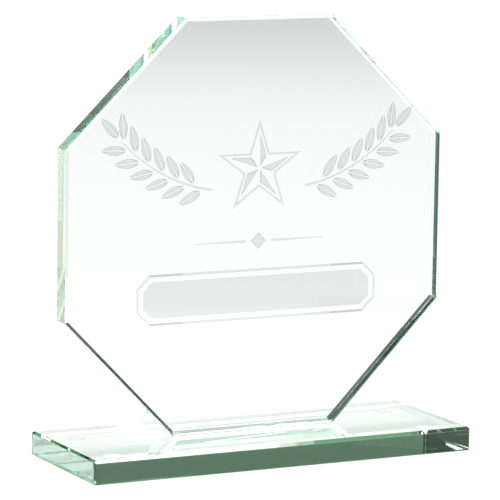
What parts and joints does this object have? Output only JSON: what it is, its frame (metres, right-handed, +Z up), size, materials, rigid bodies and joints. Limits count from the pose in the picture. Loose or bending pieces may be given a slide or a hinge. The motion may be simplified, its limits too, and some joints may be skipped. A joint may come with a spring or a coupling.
{
  "type": "glass award",
  "caption": "Upright octagonal plate of green-tinted glass bonded edge-on to a rectangular glass base with clear bumper feet, a desk or shelf award with an engraved face.",
  "frame": {"origin": "on the surface that the feet stand on, under the middle of the base", "axes": "+X along the base to the right as seen from the engraved front, +Y to the back, +Z up"},
  "size_m": [0.172, 0.0636, 0.1829],
  "materials": {
    "jade_glass": "green-tinted float glass, clear faces, flat-polished edges with ground arrises",
    "bond_adhesive": "clear cured acrylic adhesive",
    "clear_rubber": "clear moulded polyurethane, slightly hazy",
    "disc_adhesive": "clear pressure-sensitive adhesive"
  },
  "bodies": {
    "root": {"octagon_plate": "jade_glass", "base_slab": "jade_glass", "bond_film": "bond_adhesive", "foot_front_left": "clear_rubber", "foot_front_right": "clear_rubber", "foot_back_left": "clear_rubber", "foot_back_right": "clear_rubber", "foot_disc_front_left": "disc_adhesive", "foot_disc_front_right": "disc_adhesive", "foot_disc_back_left": "disc_adhesive", "foot_disc_back_right": "disc_adhesive"}
  },
  "joints": []
}
